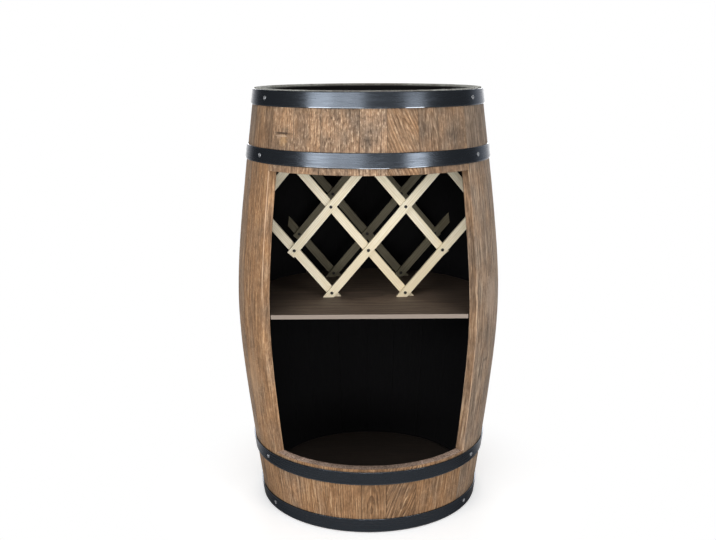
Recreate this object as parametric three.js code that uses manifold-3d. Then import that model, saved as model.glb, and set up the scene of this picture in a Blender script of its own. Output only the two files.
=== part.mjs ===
// Barrel bar cabinet: a small cask standing on end, with an open front, a shelf and two bottle lattices.
// Millimetres, +Z up. The pieces are built about the cask's axis, with the front to -Y, and stand on Z = 0.
// At the end they are moved so that the origin is the middle of the whole's extent in Y.

import * as THREE from 'three';
import { mergeVertices } from 'three/addons/utils/BufferGeometryUtils.js';
import Module from 'manifold-3d';

const wasm = await Module();
wasm.setup();

// Cask
const HEIGHT = 810;
const BELLY_RADIUS = 256;
const END_RADIUS = 214.5;
const STAVE_BEND = 130;
const STAVE_THICKNESS = 18;
const CHIME_BEVEL_WIDTH = 7;
const CHIME_BEVEL_HEIGHT = 5;

// Opening
const OPENING_ANGLE = THREE.MathUtils.degToRad(100);
const SILL_HEIGHT = 134;
const LINTEL_DEPTH = 141;
const LINTEL_HEIGHT = HEIGHT - LINTEL_DEPTH;

// Staves, their widths as shares of the arc they fill, counted from the left jamb towards the right
const FRONT_STAVE_SHARES = [0.14, 0.14, 0.175, 0.12, 0.145, 0.1, 0.18];
const BODY_STAVE_SHARES = [
  0.068, 0.058, 0.065, 0.054, 0.07, 0.06, 0.066, 0.059,
  0.063, 0.069, 0.055, 0.066, 0.06, 0.064, 0.057, 0.066,
];
const FACET_ANGLE = THREE.MathUtils.degToRad(6);
const CURVE_STEP = 54;

// Heads, the round boards let into the groove at each end
const HEAD_RECESS = 20;
const HEAD_THICKNESS = 14;
const HEAD_TONGUE = 6;
const HEAD_BEVEL = 9;
const CROZE_DEPTH = 4.5;
const HEAD_BOARD_SHARES = [0.31, 0.36, 0.33];
const HEAD_SEGMENTS = 60;

// Hoops
const HOOP_THICKNESS = 2;
const HOOP_SEGMENTS = 72;
const END_HOOP_WIDTH = 28;
const END_HOOP_INSET = 1.5;
const QUARTER_HOOP_WIDTH = 26.5;
const QUARTER_HOOP_INSET = 102.5;
const LAP_LENGTH = 52;
const LAP_WIDTH_SHARE = 0.96;
const RIVET_RADIUS = 4.5;
const RIVET_RISE = 2;
const RIVET_SPACING = 24;
const SCREW_RADIUS = 4;
const SCREW_RISE = 1.6;
const SCREW_ANGLES = [-122.5, -57.5, 57.5, 122.5].map(THREE.MathUtils.degToRad);
const DOME_SEGMENTS = 10;
const CROWN_STEPS = 3;

// Shelf and the cleats it lies on
const SHELF_HEIGHT = HEIGHT / 2;
const SHELF_THICKNESS = 8;
const CLEAT_DEPTH = 20;
const CLEAT_HEIGHT = 24;
const CLEAT_LENGTH = 70;
const CLEAT_ANGLES = { left: -78, back: 180, right: 78 };

// Lattices. The crossings of the top row are level with the lintel's edge
const PITCH_SHARE = 0.5625;
const LATTICE_PITCH = PITCH_SHARE * BELLY_RADIUS;
const FOOT_CROSSING_HEIGHT = 8.5;
const ROW_STEPS = 3;
const LATTICE_RISE = (LINTEL_HEIGHT - SHELF_HEIGHT - FOOT_CROSSING_HEIGHT) / ROW_STEPS;
const FRONT_LATTICE_SHARE = -0.106;
const REAR_LATTICE_SHARE = 0.634;
const SLAT_WIDTH = 16;
const SLAT_THICKNESS = 8;
const SLAT_TAIL = 11;
const PIN_RADIUS = 3.4;
const PIN_RECESS = 2.5;
const PIN_SIDES = 12;
const CAVITY_SEGMENTS = 60;

// Clearance between pieces that touch, and the overrun of cutting bodies
const CLEARANCE = 0.3;
const OVERRUN = 5;

const OAK = { color: 0xa17e5c, roughness: 0.72, metalness: 0 };
const HOOP_STEEL = { color: 0x2f3439, roughness: 0.42, metalness: 0.75 };
const BLACKENED_OAK = { color: 0x30261f, roughness: 0.8, metalness: 0 };
const PINE = { color: 0xe2d3b2, roughness: 0.62, metalness: 0 };

const cabinet = new THREE.Group();

function addPiece(name, geometry, finish) {
  const mesh = new THREE.Mesh(geometry, new THREE.MeshStandardMaterial(finish));
  mesh.name = name;
  cabinet.add(mesh);
}

// Profile of the cask: a bent stave is a hyperbola, most curved at the belly and nearly straight at its ends

function bendDrop(rise) {
  return Math.hypot(STAVE_BEND, rise) - STAVE_BEND;
}

const taper = (BELLY_RADIUS - END_RADIUS) / bendDrop(HEIGHT / 2);

function outerRadius(height) {
  return BELLY_RADIUS - taper * bendDrop(height - HEIGHT / 2);
}

function innerRadius(height) {
  return outerRadius(height) - STAVE_THICKNESS;
}

// The straight chords that stand in for the bend lie this far inside the curve at the belly
const chordRise = CURVE_STEP ** 2 / 8 * taper / STAVE_BEND;

// Radius that clears the flat facets of the staves' inner faces
function clearRadius(height) {
  return innerRadius(height) * Math.cos(FACET_ANGLE / 2) - chordRise - CLEARANCE;
}

function outwardNormal(angle, height) {
  const rise = height - HEIGHT / 2;
  const slope = -taper * rise / Math.hypot(STAVE_BEND, rise);
  return new THREE.Vector3(Math.sin(angle), -Math.cos(angle), -slope).normalize();
}

function pointAt(angle, radius, height) {
  return new THREE.Vector3(radius * Math.sin(angle), -radius * Math.cos(angle), height);
}

// Heights from bottom to top at which a curved face gets its points
function curveHeights(bottom, top) {
  const steps = Math.max(1, Math.round((top - bottom) / CURVE_STEP));
  return Array.from({ length: steps + 1 }, (_, step) => bottom + (top - bottom) * step / steps);
}

// Solids

// A closed outline of (radius, height) points, turned about the axis from one angle to another.
// Its end faces stand back from the radial planes by the inset, so that neighbours keep a joint gap.
function sector(outline, from, to, inset = 0) {
  const points = THREE.ShapeUtils.isClockWise(outline) ? [...outline].reverse() : outline;
  const steps = Math.max(1, Math.ceil((to - from) / FACET_ANGLE));
  const positions = [];
  for (let step = 0; step <= steps; step += 1) {
    for (const { x: radius, y: height } of points) {
      const trim = Math.asin(inset / radius);
      const angle = from + trim + (to - from - 2 * trim) * step / steps;
      positions.push(...pointAt(angle, radius, height));
    }
  }
  const indices = [];
  for (let step = 0; step < steps; step += 1) {
    for (let side = 0; side < points.length; side += 1) {
      const near = step * points.length + side;
      const nearNext = step * points.length + (side + 1) % points.length;
      const far = near + points.length;
      const farNext = nearNext + points.length;
      indices.push(near, far, farNext, near, farNext, nearNext);
    }
  }
  const last = steps * points.length;
  for (const [a, b, c] of THREE.ShapeUtils.triangulateShape(points, [])) {
    indices.push(a, b, c);
    indices.push(last + a, last + c, last + b);
  }
  const geometry = new THREE.BufferGeometry();
  geometry.setAttribute('position', new THREE.Float32BufferAttribute(positions, 3));
  geometry.setIndex(indices);
  return geometry;
}

// A full turn of a closed or axis-to-axis outline of (radius, height) points
function turned(outline, segments) {
  const points = THREE.ShapeUtils.isClockWise(outline) ? [...outline].reverse() : outline;
  const closes = points[0].x > 0 || points.at(-1).x > 0;
  const path = closes ? [...points, points[0].clone()] : points;
  return new THREE.LatheGeometry(path, segments).rotateX(Math.PI / 2);
}

function signedVolume(geometry) {
  const { position } = geometry.attributes;
  const corners = [new THREE.Vector3(), new THREE.Vector3(), new THREE.Vector3()];
  let volume = 0;
  for (let i = 0; i < geometry.index.count; i += 3) {
    corners.forEach((corner, k) => corner.fromBufferAttribute(position, geometry.index.getX(i + k)));
    volume += corners[0].dot(corners[1].clone().cross(corners[2])) / 6;
  }
  return volume;
}

function toSolid(geometry) {
  const bare = geometry.clone();
  bare.deleteAttribute('normal');
  bare.deleteAttribute('uv');
  const merged = mergeVertices(bare);
  const triVerts = Uint32Array.from(merged.index.array);
  if (signedVolume(merged) < 0) {
    triVerts.reverse();
  }
  const vertProperties = Float32Array.from(merged.attributes.position.array);
  return new wasm.Manifold(new wasm.Mesh({ numProp: 3, vertProperties, triVerts }));
}

function toGeometry(solid) {
  const { vertProperties, triVerts } = solid.getMesh();
  const geometry = new THREE.BufferGeometry();
  geometry.setAttribute('position', new THREE.Float32BufferAttribute(vertProperties, 3));
  geometry.setIndex(Array.from(triVerts));
  return geometry;
}

// Angles of the joints between pieces that share an arc
function jointAngles(from, to, shares) {
  const total = shares.reduce((sum, share) => sum + share, 0);
  const joints = [from];
  for (const share of shares) {
    joints.push(joints.at(-1) + (to - from) * share / total);
  }
  return joints;
}

// Staves: the full ones go round the back, the short ones stand above and below the opening

const jambAngle = OPENING_ANGLE / 2;
const lowerHeadMiddle = HEAD_RECESS + HEAD_THICKNESS / 2;
const headMiddles = [HEIGHT - lowerHeadMiddle, lowerHeadMiddle];

// The groove for a head, from its upper lip to its lower one
function croze(middle) {
  const half = HEAD_TONGUE / 2 + CLEARANCE;
  const depth = innerRadius(middle) + CROZE_DEPTH;
  return [
    new THREE.Vector2(innerRadius(middle + half), middle + half),
    new THREE.Vector2(depth, middle + half),
    new THREE.Vector2(depth, middle - half),
    new THREE.Vector2(innerRadius(middle - half), middle - half),
  ];
}

function staveOutline(bottom, top) {
  const outline = curveHeights(bottom, top).map((z) => new THREE.Vector2(outerRadius(z), z));
  const inner = [];
  if (top === HEIGHT) {
    const lip = top - CHIME_BEVEL_HEIGHT;
    inner.push(new THREE.Vector2(innerRadius(top) + CHIME_BEVEL_WIDTH, top));
    inner.push(new THREE.Vector2(innerRadius(lip), lip));
  } else {
    inner.push(new THREE.Vector2(innerRadius(top), top));
  }
  const grooves = headMiddles.filter((middle) => middle > bottom && middle < top);
  for (const groove of grooves) {
    if (groove === lowerHeadMiddle) {
      inner.push(...innerWall(inner.at(-1).y, croze(groove)[0].y));
    }
    inner.push(...croze(groove));
  }
  const foot = bottom === 0 ? CHIME_BEVEL_HEIGHT : bottom;
  inner.push(...innerWall(inner.at(-1).y, foot));
  inner.push(new THREE.Vector2(innerRadius(foot), foot));
  if (bottom === 0) {
    inner.push(new THREE.Vector2(innerRadius(bottom) + CHIME_BEVEL_WIDTH, bottom));
  }
  return [...outline, ...inner];
}

// Points of the inner face between two heights, from the upper one down, without its two ends
function innerWall(top, bottom) {
  return curveHeights(bottom, top).slice(1, -1).reverse().map((z) => new THREE.Vector2(innerRadius(z), z));
}

function addStaves(prefix, from, to, shares, bottom, top) {
  const joints = jointAngles(from, to, shares);
  const outline = staveOutline(bottom, top);
  shares.forEach((_, i) => {
    addPiece(`${prefix}_${i + 1}`, sector(outline, joints[i], joints[i + 1], CLEARANCE / 2), OAK);
  });
}

addStaves('upper_front_stave', -jambAngle, jambAngle, FRONT_STAVE_SHARES, LINTEL_HEIGHT, HEIGHT);
addStaves('lower_front_stave', -jambAngle, jambAngle, FRONT_STAVE_SHARES, 0, SILL_HEIGHT);
addStaves('stave', jambAngle, 2 * Math.PI - jambAngle, BODY_STAVE_SHARES, 0, HEIGHT);

// Heads: each is a disc with a bevelled edge let into the croze, and is split into boards

function headBoards(middle) {
  const tongueRadius = (innerRadius(middle) + CROZE_DEPTH) * Math.cos(FACET_ANGLE / 2) - CLEARANCE;
  const shoulder = clearRadius(middle) - HEAD_BEVEL;
  const half = HEAD_THICKNESS / 2;
  const tongueHalf = HEAD_TONGUE / 2;
  const disc = toSolid(turned([
    new THREE.Vector2(0, middle - half),
    new THREE.Vector2(shoulder, middle - half),
    new THREE.Vector2(tongueRadius - CROZE_DEPTH, middle - tongueHalf),
    new THREE.Vector2(tongueRadius, middle - tongueHalf),
    new THREE.Vector2(tongueRadius, middle + tongueHalf),
    new THREE.Vector2(tongueRadius - CROZE_DEPTH, middle + tongueHalf),
    new THREE.Vector2(shoulder, middle + half),
    new THREE.Vector2(0, middle + half),
  ], HEAD_SEGMENTS));
  const width = 2 * tongueRadius;
  let edge = -tongueRadius;
  return HEAD_BOARD_SHARES.map((share, i) => {
    const reach = width * share;
    const last = i === HEAD_BOARD_SHARES.length - 1;
    const front = i === 0 ? edge - OVERRUN : edge + CLEARANCE / 2;
    const back = last ? edge + reach + OVERRUN : edge + reach - CLEARANCE / 2;
    const blank = new THREE.BoxGeometry(width + OVERRUN, back - front, HEAD_THICKNESS + OVERRUN);
    blank.translate(0, (front + back) / 2, middle);
    edge += reach;
    return toGeometry(disc.intersect(toSolid(blank)));
  });
}

const headNames = ['top_head', 'bottom_head'];
const boardNames = ['front', 'middle', 'back'];
headMiddles.forEach((middle, head) => {
  headBoards(middle).forEach((board, i) => {
    addPiece(`${headNames[head]}_board_${boardNames[i]}`, board, head === 0 ? OAK : BLACKENED_OAK);
  });
});

// Hoops: a conical strip whose ends lap at the back under two rivets, with screws into the staves

// A low round head whose base lies in the strip, with its axis along the face's normal
function domeHead(radius, rise, angle, height, seatRadius) {
  const sink = HOOP_THICKNESS / 2;
  const crown = Array.from({ length: CROWN_STEPS + 1 }, (_, step) => Math.PI / 2 * step / CROWN_STEPS);
  const outline = [
    new THREE.Vector2(0, -sink),
    new THREE.Vector2(radius, -sink),
    ...crown.map((turn) => new THREE.Vector2(radius * Math.cos(turn), rise * Math.sin(turn))),
  ];
  outline.at(-1).x = 0;
  const head = new THREE.LatheGeometry(outline, DOME_SEGMENTS);
  const upright = new THREE.Vector3(0, 1, 0);
  head.applyQuaternion(new THREE.Quaternion().setFromUnitVectors(upright, outwardNormal(angle, height)));
  head.translate(...pointAt(angle, seatRadius, height));
  return toSolid(head);
}

function hoop(bottom, width) {
  const top = bottom + width;
  const middle = bottom + width / 2;
  const facetRise = 1 / Math.cos(Math.PI / HOOP_SEGMENTS);
  const seat = (height) => (outerRadius(height) + CLEARANCE) * facetRise;
  const strip = [
    new THREE.Vector2(seat(bottom), bottom),
    new THREE.Vector2(seat(bottom) + HOOP_THICKNESS, bottom),
    new THREE.Vector2(seat(top) + HOOP_THICKNESS, top),
    new THREE.Vector2(seat(top), top),
  ];
  let solid = toSolid(turned(strip, HOOP_SEGMENTS));

  const lapMargin = width * (1 - LAP_WIDTH_SHARE) / 2;
  const lapBottom = bottom + lapMargin;
  const lapTop = top - lapMargin;
  const lapAngle = LAP_LENGTH / seat(middle);
  const lap = [
    new THREE.Vector2(seat(lapBottom) + HOOP_THICKNESS / 2, lapBottom),
    new THREE.Vector2(seat(lapBottom) + 2 * HOOP_THICKNESS, lapBottom),
    new THREE.Vector2(seat(lapTop) + 2 * HOOP_THICKNESS, lapTop),
    new THREE.Vector2(seat(lapTop) + HOOP_THICKNESS / 2, lapTop),
  ];
  solid = solid.add(toSolid(sector(lap, Math.PI - lapAngle / 2, Math.PI + lapAngle / 2)));

  const rivetAngle = RIVET_SPACING / 2 / seat(middle);
  for (const side of [-1, 1]) {
    const rivetSeat = seat(middle) + 2 * HOOP_THICKNESS;
    const turn = Math.PI + side * rivetAngle;
    solid = solid.add(domeHead(RIVET_RADIUS, RIVET_RISE, turn, middle, rivetSeat));
  }
  for (const angle of SCREW_ANGLES) {
    const screwSeat = seat(middle) + HOOP_THICKNESS;
    solid = solid.add(domeHead(SCREW_RADIUS, SCREW_RISE, angle, middle, screwSeat));
  }
  return toGeometry(solid);
}

const upperQuarterBottom = HEIGHT - QUARTER_HOOP_INSET - QUARTER_HOOP_WIDTH;
addPiece('hoop_top', hoop(HEIGHT - END_HOOP_INSET - END_HOOP_WIDTH, END_HOOP_WIDTH), HOOP_STEEL);
addPiece('hoop_upper_quarter', hoop(upperQuarterBottom, QUARTER_HOOP_WIDTH), HOOP_STEEL);
addPiece('hoop_lower_quarter', hoop(QUARTER_HOOP_INSET, QUARTER_HOOP_WIDTH), HOOP_STEEL);
addPiece('hoop_bottom', hoop(END_HOOP_INSET, END_HOOP_WIDTH), HOOP_STEEL);

// Shelf: a disc cut straight across between the jambs' inner edges

const shelfBottom = SHELF_HEIGHT - SHELF_THICKNESS;
const shelfRadius = Math.min(clearRadius(SHELF_HEIGHT), clearRadius(shelfBottom));
const shelfFront = -innerRadius(SHELF_HEIGHT) * Math.cos(jambAngle);
const shelfTurn = Math.acos(-shelfFront / shelfRadius);
const shelfShape = new THREE.Shape();
shelfShape.absarc(0, 0, shelfRadius, shelfTurn - Math.PI / 2, 3 * Math.PI / 2 - shelfTurn, false);
const shelf = new THREE.ExtrudeGeometry(shelfShape, {
  depth: SHELF_THICKNESS,
  bevelEnabled: false,
  curveSegments: CAVITY_SEGMENTS,
});
shelf.translate(0, 0, shelfBottom);
addPiece('shelf', toGeometry(toSolid(shelf)), BLACKENED_OAK);

// Cleats: short curved blocks fixed to the staves under the shelf

for (const [side, degrees] of Object.entries(CLEAT_ANGLES)) {
  const top = shelfBottom - CLEARANCE;
  const bottom = top - CLEAT_HEIGHT;
  const outside = Math.min(clearRadius(top), clearRadius(bottom));
  const middle = THREE.MathUtils.degToRad(degrees);
  const half = CLEAT_LENGTH / 2 / outside;
  const outline = [
    new THREE.Vector2(outside - CLEAT_DEPTH, bottom),
    new THREE.Vector2(outside, bottom),
    new THREE.Vector2(outside, top),
    new THREE.Vector2(outside - CLEAT_DEPTH, top),
  ];
  addPiece(`shelf_cleat_${side}`, sector(outline, middle - half, middle + half), BLACKENED_OAK);
}

// Lattices: two layers of slats pinned at their crossings, trimmed to the cask's inside and the shelf

const roomBottom = SHELF_HEIGHT + CLEARANCE;
const roomTop = HEIGHT - HEAD_RECESS - HEAD_THICKNESS - CLEARANCE;
const room = toSolid(turned([
  new THREE.Vector2(0, roomBottom),
  ...curveHeights(roomBottom, roomTop).map((z) => new THREE.Vector2(clearRadius(z), z)),
  new THREE.Vector2(0, roomTop),
], CAVITY_SEGMENTS));

// A crossing is counted in half pitches from the middle and in rows from the foot
function crossing([column, row]) {
  return new THREE.Vector2(column * LATTICE_PITCH / 2, SHELF_HEIGHT + FOOT_CROSSING_HEIGHT + row * LATTICE_RISE);
}

// Slats that rise to the right. A tail is a free end, and other ends run on and are trimmed
const RISING_SLATS = [
  { name: 'inner', from: [-2, 1], to: [0, 3], tails: [true, true] },
  { name: 'long', from: [-1, 0], to: [2, 3], tails: [false, false] },
  { name: 'outer', from: [1, 0], to: [3, 2], tails: [false, false] },
  { name: 'short', from: [-3, 2], to: [-2, 3], tails: [false, true] },
];
const CROSSINGS = [[-1, 0], [1, 0], [-2, 1], [0, 1], [2, 1], [-1, 2], [1, 2], [-2, 3], [0, 3], [2, 3]];

function slat({ from, to, tails }, mirror, layerFront) {
  const start = crossing(from);
  const end = crossing(to);
  const along = end.clone().sub(start).normalize();
  start.addScaledVector(along, tails[0] ? -SLAT_TAIL : -LATTICE_PITCH);
  end.addScaledVector(along, tails[1] ? SLAT_TAIL : LATTICE_PITCH);
  const length = start.distanceTo(end);
  const middle = start.clone().add(end).multiplyScalar(0.5);
  const bar = new THREE.BoxGeometry(length, SLAT_THICKNESS, SLAT_WIDTH);
  bar.rotateY(-mirror * Math.atan2(along.y, along.x));
  bar.translate(mirror * middle.x, layerFront + SLAT_THICKNESS / 2, middle.y);
  return toSolid(bar).intersect(room);
}

function pinHole(place, layerFront) {
  const hole = new THREE.CylinderGeometry(PIN_RADIUS, PIN_RADIUS, PIN_RECESS + OVERRUN, PIN_SIDES);
  const { x, y } = crossing(place);
  hole.translate(x, layerFront + (PIN_RECESS - OVERRUN) / 2, y);
  return toSolid(hole);
}

function liesOn(place, { from, to }) {
  const [column, row] = place;
  const sameLine = column - row === from[0] - from[1];
  return sameLine && column >= from[0] && column <= to[0];
}

function addLattice(prefix, frontFace, slats) {
  const backFace = frontFace + SLAT_THICKNESS + CLEARANCE;
  for (const spec of slats) {
    let rising = slat(spec, 1, frontFace);
    for (const place of CROSSINGS.filter((candidate) => liesOn(candidate, spec))) {
      rising = rising.subtract(pinHole(place, frontFace));
    }
    addPiece(`${prefix}_rising_slat_${spec.name}`, toGeometry(rising), PINE);
    addPiece(`${prefix}_falling_slat_${spec.name}`, toGeometry(slat(spec, -1, backFace)), PINE);
  }
}

addLattice('front_lattice', FRONT_LATTICE_SHARE * shelfRadius, RISING_SLATS);
// The rear lattice is narrower, so it has no room for the short corner slats
addLattice('rear_lattice', REAR_LATTICE_SHARE * shelfRadius, RISING_SLATS.slice(0, -1));

// The open front cuts the belly away, so the middle of the whole lies a little behind the cask's axis
const middle = new THREE.Box3().setFromObject(cabinet).getCenter(new THREE.Vector3());
for (const piece of cabinet.children) {
  piece.geometry.translate(0, -middle.y, 0);
}

export default cabinet;
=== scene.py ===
"""Looks of the barrel bar cabinet: staves, hoops, screws and pins as fine meshes, and every finish as nodes.

Metres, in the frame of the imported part. Staves, hoops and lattices repeat named sizes of the part's source.
"""

import math

import bpy
import numpy as np
from mathutils import Euler, Matrix, Vector, noise


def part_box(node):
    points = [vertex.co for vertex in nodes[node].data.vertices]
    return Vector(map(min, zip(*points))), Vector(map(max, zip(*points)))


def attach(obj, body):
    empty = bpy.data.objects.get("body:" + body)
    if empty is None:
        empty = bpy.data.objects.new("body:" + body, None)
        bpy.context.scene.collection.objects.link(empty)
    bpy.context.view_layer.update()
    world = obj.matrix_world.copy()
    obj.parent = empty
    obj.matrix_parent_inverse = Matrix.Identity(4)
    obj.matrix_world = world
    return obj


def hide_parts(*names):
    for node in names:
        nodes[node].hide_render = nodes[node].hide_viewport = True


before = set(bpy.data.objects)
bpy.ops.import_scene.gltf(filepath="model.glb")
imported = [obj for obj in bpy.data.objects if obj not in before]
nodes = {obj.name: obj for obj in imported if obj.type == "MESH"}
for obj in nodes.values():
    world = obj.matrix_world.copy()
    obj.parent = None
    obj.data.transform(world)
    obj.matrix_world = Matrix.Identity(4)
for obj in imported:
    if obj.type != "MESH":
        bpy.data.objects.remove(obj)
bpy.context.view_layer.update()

# Cask, as in the part's source
HEIGHT = 0.810
BELLY_RADIUS = 0.256
END_RADIUS = 0.2145
STAVE_BEND = 0.130
STAVE_THICKNESS = 0.018
CHIME_BEVEL_WIDTH = 0.007
CHIME_BEVEL_HEIGHT = 0.005
HEAD_RECESS = 0.020
HEAD_THICKNESS = 0.014
CROZE_HALF = 0.0033
CROZE_DEPTH = 0.0045
SILL_HEIGHT = 0.134
LINTEL_HEIGHT = 0.669
JAMB_ANGLE = math.radians(50)
FRONT_STAVE_SHARES = [0.14, 0.14, 0.175, 0.12, 0.145, 0.1, 0.18]
BODY_STAVE_SHARES = [
    0.068, 0.058, 0.065, 0.054, 0.07, 0.06, 0.066, 0.059,
    0.063, 0.069, 0.055, 0.066, 0.06, 0.064, 0.057, 0.066,
]

# Hoops, as in the part's source
HOOP_THICKNESS = 0.002
HOOP_BOTTOMS = {
    "hoop_top": 0.7805,
    "hoop_upper_quarter": 0.681,
    "hoop_lower_quarter": 0.1025,
    "hoop_bottom": 0.0015,
}
HOOP_WIDTHS = {
    "hoop_top": 0.028,
    "hoop_upper_quarter": 0.0265,
    "hoop_lower_quarter": 0.0265,
    "hoop_bottom": 0.028,
}
LAP_LENGTH = 0.052
RIVET_RADIUS = 0.0045
RIVET_RISE = 0.002
RIVET_SPACING = 0.024
SCREW_RADIUS = 0.004
SCREW_RISE = 0.0016
SCREW_ANGLES = [math.radians(a) for a in (-122.5, -57.5, 57.5, 122.5)]

# Lattices, as in the part's source
SHELF_HEIGHT = HEIGHT / 2
LATTICE_PITCH = 0.144
FOOT_CROSSING_HEIGHT = 0.0085
ROW_STEPS = 3
LATTICE_RISE = (LINTEL_HEIGHT - SHELF_HEIGHT - FOOT_CROSSING_HEIGHT) / ROW_STEPS
CROSSINGS = [(-1, 0), (1, 0), (-2, 1), (0, 1), (2, 1), (-1, 2), (1, 2), (-2, 3), (0, 3), (2, 3)]

# The cask's axis is the middle of its upper head
AXIS_Y = (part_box("top_head_board_front")[0].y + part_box("top_head_board_back")[1].y) / 2

QUARTER = math.pi / 2
# Turns at which the points of a rounded edge lie
ROUND_TURNS = [math.radians(a) for a in (0, 30, 60, 90)]


def outer_radius(z):
    """Radius of the staves' outer face at that height, on a hyperbola."""
    taper = (BELLY_RADIUS - END_RADIUS) / (math.hypot(STAVE_BEND, HEIGHT / 2) - STAVE_BEND)
    return BELLY_RADIUS - taper * (math.hypot(STAVE_BEND, z - HEIGHT / 2) - STAVE_BEND)


def point_at(angle, radius, z):
    """The point at that angle round from the front, that far from the cask's axis and that high."""
    return (radius * math.sin(angle), AXIS_Y - radius * math.cos(angle), z)


def rounded(rounding):
    """Points of a rounded edge, as how far each lies along one face and how far under it."""
    return [(rounding * (1 - math.cos(t)), rounding * (1 - math.sin(t))) for t in ROUND_TURNS]


def clamped(share):
    return min(max(share, 0.0), 1.0)


def make_piece(name, verts, faces, materials, sharp=math.radians(40)):
    """A smooth piece whose edges stay sharp past that angle."""
    mesh = bpy.data.meshes.new(name)
    mesh.from_pydata([tuple(v) for v in verts], [], faces)
    mesh.validate()
    for material in materials:
        mesh.materials.append(material)
    mesh.shade_smooth()
    mesh.set_sharp_from_angle(angle=sharp)
    piece = bpy.data.objects.new(name, mesh)
    bpy.context.scene.collection.objects.link(piece)
    return piece


def dress(piece, node):
    """The piece stands for that node, on the one body that the cabinet has."""
    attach(piece, "root")
    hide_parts(node)


# Node trees


class Tree:
    """Short calls that add nodes to their owner, a material or a world, and link them."""

    def __init__(self, name, kind=bpy.data.materials):
        self.owner = kind.new(name)
        self.owner.use_nodes = True
        self.nodes = self.owner.node_tree.nodes
        self.links = self.owner.node_tree.links
        self.shader = self.nodes.get("Principled BSDF")

    def add(self, kind, **values):
        node = self.nodes.new("ShaderNode" + kind)
        for key, value in values.items():
            setattr(node, key, value)
        return node

    def feed(self, socket, value):
        if isinstance(value, bpy.types.NodeSocket):
            self.links.new(value, socket)
        else:
            socket.default_value = value

    def math(self, operation, a, b=0.0, clamp=False):
        node = self.add("Math", operation=operation, use_clamp=clamp)
        self.feed(node.inputs[0], a)
        self.feed(node.inputs[1], b)
        return node.outputs[0]

    def range(self, value, low, high, to_low=0.0, to_high=1.0, smooth=True):
        node = self.add("MapRange", interpolation_type="SMOOTHSTEP" if smooth else "LINEAR")
        for socket, item in zip(node.inputs, (value, low, high, to_low, to_high)):
            self.feed(socket, item)
        return node.outputs[0]

    def mix(self, share, a, b):
        """The colour b in that share, over the colour a."""
        node = self.add("Mix", data_type="RGBA", blend_type="MIX")
        self.feed(node.inputs[0], share)
        self.feed(node.inputs[6], a)
        self.feed(node.inputs[7], b)
        return node.outputs[2]

    def blend(self, share, a, b):
        """The number b in that share, and the number a in the rest."""
        return self.range(share, 0.0, 1.0, a, b, smooth=False)

    def swing(self, value, strength):
        """A noise moved from about a half to about zero, and made that strong."""
        return self.math("MULTIPLY", self.math("SUBTRACT", value, 0.5), strength)

    def scaled(self, vector, scale):
        node = self.add("VectorMath", operation="MULTIPLY")
        self.feed(node.inputs[0], vector)
        self.feed(node.inputs[1], scale)
        return node.outputs[0]

    def added(self, a, b):
        node = self.add("VectorMath", operation="ADD")
        self.feed(node.inputs[0], a)
        self.feed(node.inputs[1], b)
        return node.outputs[0]

    def length(self, vector):
        node = self.add("VectorMath", operation="LENGTH")
        self.feed(node.inputs[0], vector)
        return node.outputs["Value"]

    def noise(self, vector, scale, detail=3.0, roughness=0.55, colour=False):
        """Noise of one scale, or of a scale for each axis."""
        if isinstance(scale, tuple):
            vector, scale = self.scaled(vector, scale), 1.0
        node = self.add("TexNoise")
        self.feed(node.inputs["Vector"], vector)
        self.feed(node.inputs["Scale"], scale)
        self.feed(node.inputs["Detail"], detail)
        self.feed(node.inputs["Roughness"], roughness)
        return node.outputs["Color" if colour else "Fac"]

    def split(self, vector):
        node = self.add("SeparateXYZ")
        self.feed(node.inputs[0], vector)
        return node.outputs

    def place(self):
        """Where on the object a point lies, in metres."""
        return self.add("TexCoord").outputs["Object"]

    def attribute(self, name):
        return self.add("Attribute", attribute_name=name).outputs["Vector"]

    def bump(self, height, distance, strength, normal=None):
        node = self.add("Bump")
        node.inputs["Strength"].default_value = strength
        node.inputs["Distance"].default_value = distance
        self.feed(node.inputs["Height"], height)
        if normal is not None:
            self.feed(node.inputs["Normal"], normal)
        return node.outputs["Normal"]

    def set(self, name, value):
        self.feed(self.shader.inputs[name], value)


def linear(share):
    """The linear value of an sRGB one, both from 0 to 1."""
    return ((share + 0.055) / 1.055) ** 2.4 if share > 0.04045 else share / 12.92


def rgb(red, green, blue):
    """The linear colour of an sRGB colour given from 0 to 255."""
    return (linear(red / 255), linear(green / 255), linear(blue / 255), 1.0)


def grey(level):
    return (level, level, level, 1.0)


def wood_figure(tree, grain, rings, ring_spacing, warp):
    """Growth rings, streaks and fibres of a board whose length runs along the third coordinate.

    The rings are counted from the pith, which is the third axis of their own coordinates.
    """
    slow = tree.noise(grain, (16, 16, 4), detail=2.0, colour=True)
    shifted = tree.added(rings, tree.scaled(tree.added(slow, (-0.5, -0.5, -0.5)), (warp, warp, 0)))
    distance = tree.length(tree.scaled(shifted, (1, 1, 0)))
    wobble = tree.noise(grain, (70, 70, 12), detail=3.0)
    turns = tree.math("ADD", tree.math("DIVIDE", distance, ring_spacing), tree.math("MULTIPLY", wobble, 0.9))
    phase = tree.math("FRACT", turns)
    late = tree.math("MULTIPLY", tree.range(phase, 0.2, 0.85), tree.range(phase, 0.88, 1.0, 1.0, 0.0))
    streaks = tree.noise(grain, (300, 300, 14), detail=4.0, roughness=0.7)
    fibres = tree.noise(grain, (900, 900, 60), detail=3.0, roughness=0.7)
    return late, streaks, fibres


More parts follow.
